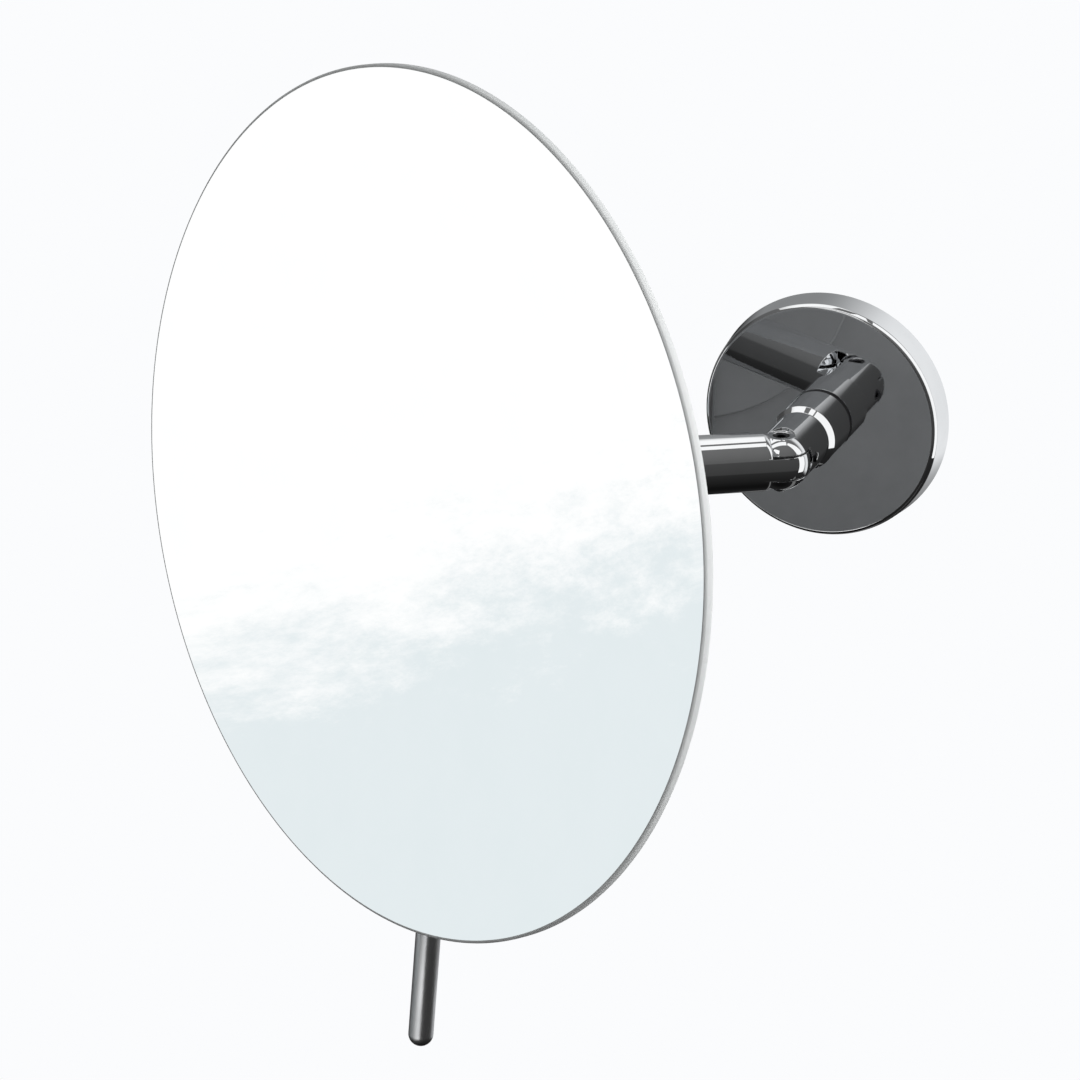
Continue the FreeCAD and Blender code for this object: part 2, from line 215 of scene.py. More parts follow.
def hard_finish(name, clean, hazed, metallic, roughness, bump):
    """A material whose colour, roughness and bump follow the marks of handling."""
    material = bpy.data.materials.new(name)
    material.use_nodes = True
    tree = material.node_tree
    shader = tree.nodes["Principled BSDF"]
    shader.inputs["Metallic"].default_value = metallic
    place = add_node(tree, "ShaderNodeTexCoord", (-6, 0))
    group = add_node(tree, "ShaderNodeGroup", (-5, 0))
    group.node_tree = marks
    group.inputs["Haze Scale"].default_value = haze_scale
    group.inputs["Line Scale"].default_value = line_scale
    colour = add_node(tree, "ShaderNodeMix", (-3, 0))
    colour.data_type = "RGBA"
    colour.inputs["A"].default_value = (*clean, 1)
    colour.inputs["B"].default_value = (*hazed, 1)
    rough = add_node(tree, "ShaderNodeMapRange", (-3, 1), To_Min=roughness[0], To_Max=roughness[1])
    relief = add_node(tree, "ShaderNodeBump", (-2, 2), Strength=bump, Distance=bump_depth)
    link = tree.links.new
    link(place.outputs["Object"], group.inputs["Vector"])
    link(group.outputs["Haze"], colour.inputs["Factor"])
    link(group.outputs["Haze"], rough.inputs["Value"])
    link(group.outputs["Lines"], relief.inputs["Height"])
    link(colour.outputs["Result"], shader.inputs["Base Color"])
    link(rough.outputs["Result"], shader.inputs["Roughness"])
    link(relief.outputs["Normal"], shader.inputs["Normal"])
    return material


chrome = hard_finish("polished chrome", (0.86, 0.87, 0.88), (0.80, 0.81, 0.82), metal, (0.015, 0.05), 0.02)
satin = hard_finish("satin chrome", (0.80, 0.81, 0.82), (0.74, 0.75, 0.76), metal, (0.32, 0.38), 0.1)
zinc = hard_finish("zinc plated steel", (0.62, 0.63, 0.65), (0.50, 0.51, 0.52), metal, (0.25, 0.42), 0.25)
black_steel = hard_finish(
    "blackened steel", (0.035, 0.035, 0.04), (0.07, 0.07, 0.07), metal, (0.3, 0.5), 0.3)
slip_plastic = hard_finish(
    "black slip plastic", (0.008, 0.008, 0.009), (0.02, 0.02, 0.021), not_metal, (0.4, 0.6), 0.3)
foam = hard_finish(
    "black foam tape", (0.012, 0.012, 0.013), (0.03, 0.03, 0.03), not_metal, (0.8, 0.95), 1.0)
enamel = hard_finish(
    "grey enamel", (0.255, 0.26, 0.265), (0.235, 0.24, 0.245), not_metal, (0.4, 0.55), 0.2)
film = hard_finish(
    "grey backing film", (0.26, 0.265, 0.27), (0.235, 0.24, 0.245), not_metal, (0.4, 0.6), 0.2)
silver = hard_finish(
    "silvered glass", (0.98, 0.985, 0.985), (0.965, 0.975, 0.975), metal, (0.0, 0.004), 0.0)
glass_edge = hard_finish(
    "polished glass edge", (0.95, 0.97, 0.97), (0.90, 0.93, 0.93), not_metal, (0.25, 0.35), 0.0)
arris_edge = hard_finish(
    "ground glass arris", (0.80, 0.82, 0.82), (0.72, 0.74, 0.74), not_metal, (0.3, 0.45), 0.03)
print("finishes", len(bpy.data.materials))

# %% [markdown]
# ## Ways of shaping
# Nearly every piece of this object comes off a lathe. In Blender that is a spin: an outline
# of radius and position points, turned about the y axis. Real turned edges are broken a
# little, so the sharp edges get a small bevel, which also catches the light.

# %% Spin an outline about the y axis
weld = 0.0005 * mm


def arc(centre, radius, start, end, steps):
    """Points of an arc in an outline, from one angle in degrees to another."""
    turns = [math.radians(start + (end - start) * i / steps) for i in range(steps + 1)]
    return [(centre[0] + radius * math.cos(turn), centre[1] + radius * math.sin(turn)) for turn in turns]


def lathe(outline, closed=False, steps=128):
    """Spins (radius, position) points about the y axis and returns the mesh."""
    mesh = bmesh.new()
    points = [mesh.verts.new((radius, position, 0)) for radius, position in outline]
    edges = [mesh.edges.new(pair) for pair in zip(points, points[1:])]
    if closed:
        edges.append(mesh.edges.new((points[-1], points[0])))
    bmesh.ops.spin(mesh, geom=points + edges, cent=(0, 0, 0), axis=(0, 1, 0),
                   angle=math.tau, steps=steps, use_merge=True)
    bmesh.ops.remove_doubles(mesh, verts=mesh.verts, dist=weld)
    bmesh.ops.recalc_face_normals(mesh, faces=mesh.faces)
    return mesh


def break_edges(mesh, width=0.12 * mm, sharper_than=24, segments=2):
    """Bevels every edge that turns by more than an angle in degrees."""
    limit = math.radians(sharper_than)
    sharp = [edge for edge in mesh.edges if edge.is_manifold and edge.calc_face_angle() > limit]
    bmesh.ops.bevel(mesh, geom=sharp, offset=width, offset_type="OFFSET", affect="EDGES",
                    segments=segments, profile=0.5, material=-1, clamp_overlap=False)
    return mesh


# %% [markdown]
# One function turns a finished mesh into an object: it moves the points to their place, smooths
# the shading, hangs the piece on the empty of the body it rides on, and hides the solid it stands for.


def put(name, mesh, place, finishes, body, node):
    """Makes an object of a mesh at its place, on a body, in the stead of a node."""
    mesh.transform(place)
    data = bpy.data.meshes.new(name)
    mesh.to_mesh(data)
    mesh.free()
    for finish in finishes:
        data.materials.append(finish)
    data.shade_smooth()
    piece = bpy.data.objects.new(name, data)
    bpy.context.scene.collection.objects.link(piece)
    steady = piece.modifiers.new("steady normals", "WEIGHTED_NORMAL")
    steady.weight = 80
    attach(piece, body)
    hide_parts(node)
    print(name, len(data.polygons), "faces")
    return piece


# %% [markdown]
# ## The wall rose
# A shallow cup with drafted sides and a flat mirror-like face. Its edge is a narrow steep flat
# between two roundings, which draws a bright line and a dark one round the face. It could be a
# cylinder with a bevel, but a spun outline gives the draft and the hollow back as well.

# %% Turn the wall rose
rose_draft = 0.9 * mm
edge_flat = 0.6 * mm
edge_round = 1.0 * mm
face_round = 0.9 * mm
edge_steep = 30
rose_wall = 2.4 * mm
rose_face_wall = 2.2 * mm
bolt_hole = 3.3 * mm
rose_edge = rose_radius - rose_draft
lean = math.degrees(math.atan2(rose_draft, rose_depth))
across_edge = math.cos(math.radians(edge_steep))
into_edge = math.sin(math.radians(edge_steep))
face_arc = arc((0, face_round), face_round, -90, -edge_steep, 6)
flat_start = Vector(face_arc[-1])
flat_end = flat_start + edge_flat * Vector((into_edge, across_edge))
edge_centre = flat_end - edge_round * Vector((across_edge, -into_edge))
edge = face_arc + arc(edge_centre, edge_round, -edge_steep, -lean, 8)
outwards = rose_edge + edge[-1][1] * math.tan(math.radians(lean)) - edge[-1][0]
rose_outline = [(bolt_hole, -rose_depth)]
rose_outline += [(radius + outwards, depth - rose_depth) for radius, depth in edge]
rose_outline += [
    (rose_radius, 0),
    (rose_radius - rose_wall, 0),
    (rose_radius - rose_wall, rose_face_wall - rose_depth),
    (bolt_hole, rose_face_wall - rose_depth),
]
rose = break_edges(lathe(rose_outline, closed=True, steps=256))
put("wall_rose_shell", rose, wall_place, [chrome], "wall_mount", "wall_rose")

# %% [markdown]
# The thin black ring under the post is a slip ring, turned like the rose.

# %% Turn the black ring
ring_outline = [
    (bolt_hole, ring_low.y),
    (ring_high.x, ring_low.y),
    (ring_high.x, ring_high.y),
    (bolt_hole, ring_high.y),
]
ring = break_edges(lathe(ring_outline, closed=True), 0.06 * mm)
put("post_ring", ring, wall_place, [slip_plastic], "wall_mount", "post_washer")

# %% [markdown]
# ## Knuckles
# The four bars are turned first and milled afterwards, as in a workshop. Boolean modifiers do
# the milling: they keep the round surfaces exactly round and leave clean crisp edges, which
# the bevel then breaks. The tools are simple shapes: a prism, a pillar and a spun ball.

# %% Tools for milling


def prism(outline, low, high):
    """A straight-sided solid over an outline of (x, y) points, from one height to another."""
    mesh = bmesh.new()
    face = mesh.faces.new([mesh.verts.new((x, y, low)) for x, y in outline])
    grown = bmesh.ops.extrude_face_region(mesh, geom=[face])["geom"]
    tops = [part for part in grown if isinstance(part, bmesh.types.BMVert)]
    bmesh.ops.translate(mesh, vec=(0, 0, high - low), verts=tops)
    bmesh.ops.recalc_face_normals(mesh, faces=mesh.faces)
    return mesh


def pillar(radius, low, high, place=Matrix.Identity(4), segments=64):
    """A round or many-sided pillar along z."""
    mesh = bmesh.new()
    bmesh.ops.create_cone(mesh, cap_ends=True, segments=segments, radius1=radius, radius2=radius,
                          depth=high - low)
    mesh.transform(place @ Matrix.Translation((0, 0, (low + high) / 2)))
    return mesh


def shifted(tools, place):
    """The same tools at another place."""
    for tool in tools:
        tool.transform(place)
    return tools


# %% [markdown]
# A mesh tool may list the same points and faces in another order each time, and what a Boolean
# makes of them depends on it. So they are handed over in a fixed order: the points sorted along a
# skew direction, in which hardly any two are level, and each face from its lowest point on.
# The result is sorted as well, because merging near points also depends on their order.

# %% Milling with Boolean modifiers
skew = Vector((1.0, 1.37, 2.11))
sliver = 0.03 * mm


def as_object(mesh):
    """A plain object of a mesh, in a fixed order, for the time of the milling."""
    mesh.verts.sort(key=lambda vert: vert.co.dot(skew))
    mesh.verts.index_update()
    faces = []
    for face in mesh.faces:
        corners = [vert.index for vert in face.verts]
        first = corners.index(min(corners))
        faces.append(corners[first:] + corners[:first])
    data = bpy.data.meshes.new("work")
    data.from_pydata([vert.co for vert in mesh.verts], [], sorted(faces))
    mesh.free()
    piece = bpy.data.objects.new("work", data)
    bpy.context.scene.collection.objects.link(piece)
    return piece


def mill(blank, tools):
    """Takes each tool out of a blank and returns the mesh that is left, without its slivers."""
    work = as_object(blank)
    cutters = [as_object(tool) for tool in tools]
    for cutter in cutters:
        cut = work.modifiers.new("cut", "BOOLEAN")
        cut.operation = "DIFFERENCE"
        cut.solver = "EXACT"
        cut.object = cutter
    graph = bpy.context.evaluated_depsgraph_get()
    milled = bmesh.new()
    milled.from_mesh(work.evaluated_get(graph).to_mesh())
    for piece in [work] + cutters:
        data = piece.data
        bpy.data.objects.remove(piece)
        bpy.data.meshes.remove(data)
    milled.verts.sort(key=lambda vert: vert.co.dot(skew))
    milled.edges.sort(key=lambda edge: (edge.verts[0].co + edge.verts[1].co).dot(skew))
    milled.faces.sort(key=lambda face: face.calc_center_median().dot(skew))
    bmesh.ops.remove_doubles(milled, verts=milled.verts, dist=sliver)
    bmesh.ops.recalc_face_normals(milled, faces=milled.faces)
    return milled


# %% [markdown]
# A fork is a bar with a ball end and a slot. Inside, the slot follows the ball of the tongue at
# an even gap. On one side it is cut back straight, so that the joint can fold further that way.
# A small flat is milled on the upper ear, round the socket end of the pin. The tool for the pin
# is turned by a degree, so that none of its edges falls on a seam of the ball.

# %% Tools for a fork
far = 20 * mm
knuckle_gap = 0.4 * mm
press_gap = 0.02 * mm
running_gap = 0.05 * mm
ear_clear = bar_radius + knuckle_gap
slot_half = slip_high.z
screw_radius = 1.27 * mm
screw_back = 5.2 * mm
screw_lean = Vector((bar_radius, screw_back, 0)).to_track_quat("Z", "Y").to_matrix().to_4x4()
stand_up = Matrix.Rotation(math.radians(90), 4, "X")
off_seam = Matrix.Rotation(math.radians(1), 4, "Z")
flat_radius = 3.2 * mm
flat_height = math.sqrt(bar_radius ** 2 - flat_radius ** 2)
print("slot", round(2 * slot_half / mm, 2), "mm, flat at", round(flat_height / mm, 2), "mm")


def fork_tools(folds):
    """The slot, the pin hole, the flat round it and the brake screw's hole of a fork at the origin."""
    step = [(far, 0), (-far, 0)]
    if folds:
        step = [(far, 0), (0, 0), (0, ear_clear), (-far, ear_clear)]
    slot = prism([(-far, -far), (far, -far)] + step, -slot_half, slot_half)
    rise = math.degrees(math.asin(slot_half / ear_clear))
    ball = lathe([(0, -slot_half)] + arc((0, 0), ear_clear, -rise, rise, 10) + [(0, slot_half)])
    ball.transform(stand_up)
    hole = pin_radius + press_gap
    wide = flat_radius + running_gap
    step_line = [(hole, flat_height), (wide, flat_height)]
    pin_hole = lathe([(0, -far), (hole, -far)] + step_line + [(wide, far), (0, far)], steps=64)
    pin_hole.transform(off_seam @ stand_up)
    screw_hole = pillar(screw_radius, bar_radius, far, screw_lean, 48)
    return [slot, ball, pin_hole, screw_hole]


# %% [markdown]
# A tongue is a bar with a ball end and both sides of the ball milled off. Behind it the bar
# keeps two shoulders with a rounded edge, hollowed to follow the balls of the ears.

# %% Tools for a tongue
shoulder_setback = 2.1 * mm
shoulder_round = 2.5 * mm
past_bar = 0.004 * mm
tongue_half = slip_low.z - 0.03 * mm
print("tongue", round(2 * tongue_half / mm, 2), "mm thick")


def shoulder_outline():
    """What the shoulders leave free round the ears: out along the rounding, in along the hollow."""
    middle = (bar_radius - shoulder_round, -shoulder_setback - shoulder_round)
    size = shoulder_round + past_bar
    span = math.hypot(*middle)
    corner = math.acos((ear_clear ** 2 - span ** 2 - size ** 2) / (2 * size * span))
    meet = corner + math.atan2(*middle[::-1])
    edge = arc(middle, size, 0, math.degrees(meet), 8)
    start = math.degrees(math.atan2(edge[-1][1], edge[-1][0]))
    hollow = arc((0, 0), ear_clear, start, -90, 20)
    return [(0, far), (far, far), (far, middle[1])] + edge + hollow[1:]


def half_tool(side):
    """The part of that tool above the tongue, or below it."""
    tool = lathe(shoulder_outline())
    everything = tool.verts[:] + tool.edges[:] + tool.faces[:]
    bmesh.ops.bisect_plane(tool, geom=everything, dist=1e-9, plane_co=(0, 0, side * tongue_half),
                           plane_no=(0, 0, side), clear_inner=True)
    bmesh.ops.holes_fill(tool, edges=[edge for edge in tool.edges if edge.is_boundary])
    bmesh.ops.recalc_face_normals(tool, faces=tool.faces)
    return tool


def tongue_tools(folds):
    """All that is milled off to leave a tongue at the origin."""
    tools = [half_tool(1), half_tool(-1), pillar(pin_radius + running_gap, -far, far)]
    if folds:
        square = [(-far, -ear_clear), (0, -ear_clear), (0, far), (-far, far)]
        tools += [prism(square, tongue_half, far), prism(square, -far, -tongue_half)]
    return tools


# %% [markdown]
# The post is a fork on a bar that widens over a short taper to a collar. The taper is a bright
# crescent on the real one, so its slope matters: it has to look at the tall light on the right.

# %% Turn and mill the post
collar_taper = 1.7 * mm
nose = arc((0, 0), bar_radius, -90, 0, 24)


def collar_outline(neck, end, hole_radius, hole_depth):
    """The outline of a ball-ended bar with a collar that has a blind hole in its end."""
    taper = [(bar_radius, neck), (collar_radius, neck + collar_taper), (collar_radius, end)]
    hole = [(hole_radius, end), (hole_radius, end - hole_depth), (0, end - hole_depth)]
    return nose + taper + hole


post_neck = 14.6 * mm
post_bolt_hole = 3.02 * mm
post_bolt_depth = 11 * mm
post_blank = lathe(collar_outline(post_neck, post_high.y, post_bolt_hole, post_bolt_depth))
post = break_edges(mill(post_blank, fork_tools(True)))
put("post_fork", post, elbow_place, [chrome], "wall_mount", "post")

# %% [markdown]
# The arm is one bar with a tongue at both ends, the second one turned half round.

# %% Turn and mill the arm
far_nose = arc((0, -arm_length), bar_radius, -90, 0, 24)
near_nose = arc((0, 0), bar_radius, 0, 90, 24)
arm_blank = lathe(far_nose + near_nose)
half_round = Matrix.Translation((0, -arm_length, 0)) @ Matrix.Rotation(math.pi, 4, "Z")
arm = break_edges(mill(arm_blank, tongue_tools(True) + shifted(tongue_tools(True), half_round)))
put("arm_bar", arm, arm_place, [chrome], "arm", "arm")

# %% [markdown]
# The swivel head joins a fork on an upright pin to a tongue on a level one, back to back.

# %% Turn and mill the swivel head
head_blank = lathe(nose + arc((0, head_length), bar_radius, 0, 90, 24))
head_front = Matrix.Translation((0, head_length, 0)) @ level_pin
head = break_edges(mill(head_blank, fork_tools(True) + shifted(tongue_tools(False), head_front)))
put("swivel_head_block", head, head_place, [chrome], "swivel_head", "swivel_head")

# %% [markdown]
# The hub is the post's small brother: a fork for the level pin, and a flat seat from below for
# the handle rod.

# %% Turn and mill the hub
hub_neck = 8.0 * mm
rod_axis = Matrix.Translation((0, (rod_low.y + rod_high.y) / 2, 0))
rod_radius = (rod_high.x - rod_low.x) / 2
rod_seat = -6.4 * mm
seat_gap = 0.15 * mm
stud_radius = 2 * mm
stud_top = rod_high.z
past_seat = 0.1 * mm
hub_bolt_hole = 2.52 * mm
hub_bolt_depth = 5 * mm
hub_blank = lathe(collar_outline(hub_neck, hub_high.y, hub_bolt_hole, hub_bolt_depth))
seat_tools = [
    pillar(rod_radius + seat_gap, -far, rod_seat, rod_axis),
    pillar(stud_radius + press_gap, rod_seat - past_seat, stud_top + press_gap, rod_axis),
]
hub = break_edges(mill(hub_blank, shifted(fork_tools(False), level_pin) + seat_tools))
put("hub_fork", hub, mirror_place, [chrome], "mirror", "hub")

# %% [markdown]
# Each knuckle turns on a pin with a domed end below and a key socket sunk in the upper ear. Two
# slip washers fill the slot and show as the thin black lines in the joint.

# %% Pins and slip washers
pin_shoulder = -math.sqrt(bar_radius ** 2 - pin_radius ** 2)
dome_rise = pin_shoulder - pin_low.z
dome_radius = (pin_radius ** 2 + dome_rise ** 2) / (2 * dome_rise)
dome_span = math.degrees(math.asin(pin_radius / dome_radius))
pin_sunk = 0.2 * mm
pin_top = flat_height - pin_sunk
socket_depth = 1.2 * mm
socket_corner = 2 * mm / math.sqrt(3)
black_from = pin_top - 1.5 * socket_depth


def knuckle_pin():
    """A pin along z: an arc for the dome, straight sides, and a six-sided socket in a black end."""
    dome = arc((0, pin_low.z + dome_radius), dome_radius, -90, dome_span - 90, 10)
    pin = lathe(dome + [(pin_radius, pin_top), (0, pin_top)], steps=64)
    pin.transform(stand_up)
    socket = pillar(socket_corner, pin_top - socket_depth, far, segments=6)
    pin = break_edges(mill(pin, [socket]), 0.08 * mm)
    for face in pin.faces:
        face.material_index = int(face.calc_center_median().z > black_from)
    return pin


def slip_washer(low, high):
    """A flat ring between two heights."""
    bore = pin_radius + running_gap
    outer = slip_high.x
    washer = lathe([(bore, low), (outer, low), (outer, high), (bore, high)], closed=True, steps=96)
    washer.transform(stand_up)
    return break_edges(washer, 0.05 * mm)


knuckles = (
    ("elbow", elbow_place, "wall_mount"),
    ("swivel", head_place, "swivel_head"),
    ("tilt", tilt_place, "mirror"),
)
for joint, place, body in knuckles:
    put(joint + "_pin_turned", knuckle_pin(), place, [chrome, black_steel], body, joint + "_pin")
    top = slip_washer(slip_low.z, slip_high.z)
    put(joint + "_slip_top", top, place, [slip_plastic], body, joint + "_washer_socket_side")
    bottom = slip_washer(-slip_high.z, -slip_low.z)
    put(joint + "_slip_bottom", bottom, place, [slip_plastic], body, joint + "_washer_dome_side")

# %% [markdown]
# ## The glass
# The dish is a spun arc. The front is silvered, so it is a mirror; a narrow ring past the silver
# and the ground rim show pale glass; and the back has a grey coat. One mesh carries all four
# finishes, by material index.

# %% Spin the dished glass
curve_radius = 1000 * mm
glass_thickness = 2.4 * mm
arris = 0.45 * mm
clear_ring = 0.3 * mm
face_rings = 40
curve_centre = glass_low.y + glass_thickness + curve_radius


def dish(radius, sphere_radius):
    """The position along the mirror's axis of a sphere at a radius."""
    return curve_centre - math.sqrt(sphere_radius ** 2 - radius ** 2)


def rings(radius, count):
    """Evenly spaced radii from 0 to a radius."""
    return [radius * i / count for i in range(count + 1)]


inner = mirror_radius - arris
back_sphere = curve_radius + glass_thickness
radii = rings(inner, face_rings)
silver_edge = inner - clear_ring
front_radii = sorted(radii[:-1] + [silver_edge, inner])
glass_outline = [(radius, dish(radius, curve_radius)) for radius in front_radii]
glass_outline.append((mirror_radius, glass_outline[-1][1] - arris))
glass_outline.append((mirror_radius, dish(inner, back_sphere) + arris))
glass_outline += [(radius, dish(radius, back_sphere)) for radius in reversed(radii)]
glass = lathe(glass_outline, steps=360)
glass_finishes = [silver, glass_edge, film, arris_edge]
steep = 0.5
for face in glass.faces:
    middle = face.calc_center_median()
    radius = math.hypot(middle.x, middle.z)
    finish = glass_edge
    if face.normal.y > steep:
        finish = silver if radius < silver_edge else arris_edge
    elif face.normal.y < -steep and radius < inner:
        finish = film
    face.material_index = glass_finishes.index(finish)
put("mirror_disc", glass, mirror_place, glass_finishes, "mirror", "mirror_glass")

# %% [markdown]
# Behind the glass lie a safety film, a foam pad and an enamelled plate. Each is a spun outline:
# the film follows the dish, and the pad is flat on the plate and hollow towards the film.

# %% Spin the film and the pad
film_thickness = 0.25 * mm
film_sphere = back_sphere + film_thickness
film_radii = rings(film_high.x, 30)
film_outline = [(radius, dish(radius, back_sphere)) for radius in film_radii]
film_outline += [(radius, dish(radius, film_sphere)) for radius in reversed(film_radii)]
put("backing_film", lathe(film_outline, steps=240), mirror_place, [film], "mirror", "safety_film")

pad_outline = [(radius, dish(radius, film_sphere)) for radius in rings(pad_high.x, 16)]
pad_outline += [(pad_high.x, pad_low.y), (0, pad_low.y)]
pad = break_edges(lathe(pad_outline, steps=160), 0.1 * mm)
foam_pad = put("foam_pad", pad, mirror_place, [foam], "mirror", "glue_pad")

# %% [markdown]
# The plate has a chamfer towards the wall and a sunk hole for the bolt of the hub.

# %% Spin the plate
plate_chamfer = 0.8 * mm
plate_hole = 2.8 * mm
plate_sink = 4.82 * mm
plate_outline = [
    (plate_hole, plate_low.y),
    (plate_high.x - plate_chamfer, plate_low.y),
    (plate_high.x, plate_low.y + plate_chamfer),
    (plate_high.x, plate_high.y),
    (plate_sink, plate_high.y),
    (plate_hole, plate_high.y + plate_hole - plate_sink),
]
plate = break_edges(lathe(plate_outline, closed=True, steps=200))
put("plate_disc", plate, mirror_place, [enamel], "mirror", "back_plate")

# %% [markdown]
# ## The handle rod
# A straight rod with a half-round tip. The tip is an arc in the outline, so it flows into the
# side with no seam. A stud at the top goes into the hub.

# %% Turn the handle rod
tip_short = 0.03 * mm
rod_tip = -rod_low.z - rod_radius - tip_short
rod_outline = [(0, -stud_top), (stud_radius, -stud_top), (stud_radius, -rod_seat)]
rod_outline += [(rod_radius, -rod_seat)] + arc((0, rod_tip), rod_radius, 0, 90, 16)
rod = break_edges(lathe(rod_outline, steps=96))
hang_down = rod_axis @ Matrix.Rotation(math.radians(-90), 4, "X")
put("handle_rod_bar", rod, mirror_place @ hang_down, [satin], "mirror", "handle_rod")

# %% [markdown]
# ## Finishes on the solids that stay
# The bracket and the small fasteners keep their solids and take a finish by their slot.

# %% Give every node a finish
finish_of_slot = {
    "chrome": chrome,
    "zinc_steel": zinc,
    "black_steel": black_steel,
    "black_plastic": slip_plastic,
    "foam": foam,
    "grey_enamel": enamel,
    "film": film,
    "mirror": silver,
}
for entry in frame["record"]["subparts"]:
    data = frame["nodes"][entry["node"]].data
    data.materials.clear()
    data.materials.append(finish_of_slot[entry["material_slot"]])

# %% [markdown]
# ## Studio
# Chrome shows the room and not itself. So the room is designed: long soft boxes overhead, a
# dim space in front, a bright backdrop behind and a pale floor. The camera is set by its angle,
# its distance and the place of the rose's middle in the picture.

# %% The camera
view_azimuth = math.radians(21.92)
view_elevation = math.radians(21.53)
view_distance = 1.0218
picture_size = 1080
focal_pixels = 4223.6
rose_pixel = (829.8, 411.2)
sensor = 36.0
back = Vector((
    math.sin(view_azimuth) * math.cos(view_elevation),
    -math.cos(view_azimuth) * math.cos(view_elevation),
    math.sin(view_elevation),
))
right = Vector((math.cos(view_azimuth), math.sin(view_azimuth), 0))
raised = back.cross(right)
aside = (rose_pixel[0] - picture_size / 2) / focal_pixels * view_distance
above = (picture_size / 2 - rose_pixel[1]) / focal_pixels * view_distance
camera_data = bpy.data.cameras.new("camera")
camera_data.sensor_width = sensor
camera_data.lens = focal_pixels / picture_size * sensor
camera = bpy.data.objects.new("camera", camera_data)
camera_place = back * view_distance - right * aside - raised * above
axes = Matrix((right, raised, back)).transposed().to_4x4()
camera.matrix_world = Matrix.Translation(camera_place) @ axes
bpy.context.scene.collection.objects.link(camera)
bpy.context.scene.camera = camera
print("lens", round(camera_data.lens, 1), "at", [round(value, 3) for value in camera_place])

# %% [markdown]
# The world is a function of direction. A ramp over the height gives the dim room, and soft
# masks lay a backdrop behind, bright on the right and dark low on the left. The camera itself
# sees plain white.

# %% The room


def soft_step(tree, source, low, high, place):
    """A mask that goes smoothly from 0 at low to 1 at high."""
    node = add_node(tree, "ShaderNodeMapRange", place, From_Min=low, From_Max=high)
    node.interpolation_type = "SMOOTHSTEP"
    tree.links.new(source, node.inputs["Value"])
    return node.outputs["Result"]


def towards(tree, source, direction, place):
    """How far a vector reaches in a direction."""
    node = add_node(tree, "ShaderNodeVectorMath", place)
    node.operation = "DOT_PRODUCT"
    node.inputs[1].default_value = direction
    tree.links.new(source, node.inputs[0])
    return node.outputs["Value"]


def laid_over(tree, under, colour, mask, place):
    """A colour laid over another through a mask."""
    node = add_node(tree, "ShaderNodeMix", place)
    node.data_type = "RGBA"
    tree.links.new(under, node.inputs["A"])
    if isinstance(colour, tuple):
        node.inputs["B"].default_value = (*colour, 1)
    else:
        tree.links.new(colour, node.inputs["B"])
    tree.links.new(mask, node.inputs["Factor"])
    return node.outputs["Result"]


def height_ramp(tree, z, stops):
    """Greys by height, from -1 straight down to 1 straight up."""
    height = add_node(tree, "ShaderNodeMapRange", (2, 0), From_Min=-1.0, From_Max=1.0)
    tree.links.new(z, height.inputs["Value"])
    ramp = add_node(tree, "ShaderNodeValToRGB", (3, 0))
    tree.links.new(height.outputs["Result"], ramp.inputs["Fac"])
    elements = ramp.color_ramp.elements
    for level, grey in stops[1:-1]:
        elements.new((level + 1) / 2).color = (grey, grey, grey, 1)
    elements[0].color = (*[stops[0][1]] * 3, 1)
    elements[len(elements) - 1].color = (*[stops[-1][1]] * 3, 1)
    return ramp.outputs["Color"]


room_greys = (
    (-1, 0.004), (-0.9, 0.012), (-0.45, 0.025), (-0.38, 0.05), (0.34, 0.065), (0.42, 0.115), (1, 0.17),
)
dark_back = (0.015, 0.015, 0.016)
dim_back = (0.26, 0.265, 0.27)
bright_back = (0.88, 0.89, 0.90)
floor_colour = (0.965, 0.972, 0.985)


def room_light():
    """A world that is plain white to the camera and a shaded room to reflections."""
    world = bpy.data.worlds.new("studio")
    world.use_nodes = True
    tree = world.node_tree
    tree.nodes.clear()
    direction = add_node(tree, "ShaderNodeTexCoord", (0, 0)).outputs["Generated"]
    parts = add_node(tree, "ShaderNodeSeparateXYZ", (1, 0))
    tree.links.new(direction, parts.inputs["Vector"])
    x, y, z = (parts.outputs[name] for name in "XYZ")
    light = height_ramp(tree, z, room_greys)

    base = add_node(tree, "ShaderNodeRGB", (3, 1))
    base.outputs[0].default_value = (*dark_back, 1)
    above = soft_step(tree, z, -0.3, 0.05, (2, 3))
    left_side = laid_over(tree, base.outputs[0], dim_back, above, (3, 2))
    to_right = soft_step(tree, x, -0.4, 0.4, (2, 1))
    backdrop = laid_over(tree, left_side, bright_back, to_right, (4, 1))
    underneath = soft_step(tree, z, -0.45, -0.6, (2, 4))
    backdrop = laid_over(tree, backdrop, dark_back, underneath, (4, 2))
    behind = soft_step(tree, y, 0.45, 0.68, (2, 2))
    light = laid_over(tree, light, backdrop, behind, (5, 0))

    shade = add_node(tree, "ShaderNodeBackground", (8, 0))
    tree.links.new(light, shade.inputs["Color"])
    plain = add_node(tree, "ShaderNodeBackground", (8, 1), Color=(*floor_colour, 1))
    ray = add_node(tree, "ShaderNodeLightPath", (8, 2))
    pick = add_node(tree, "ShaderNodeMixShader", (9, 0))
    out = add_node(tree, "ShaderNodeOutputWorld", (10, 0))
    tree.links.new(ray.outputs["Is Camera Ray"], pick.inputs["Fac"])
    tree.links.new(shade.outputs["Background"], pick.inputs[1])
    tree.links.new(plain.outputs["Background"], pick.inputs[2])
    tree.links.new(pick.outputs["Shader"], out.inputs["Surface"])
    return world


bpy.context.scene.world = room_light()
bpy.context.scene.view_settings.view_transform = "Standard"
print("world nodes", len(bpy.context.scene.world.node_tree.nodes))

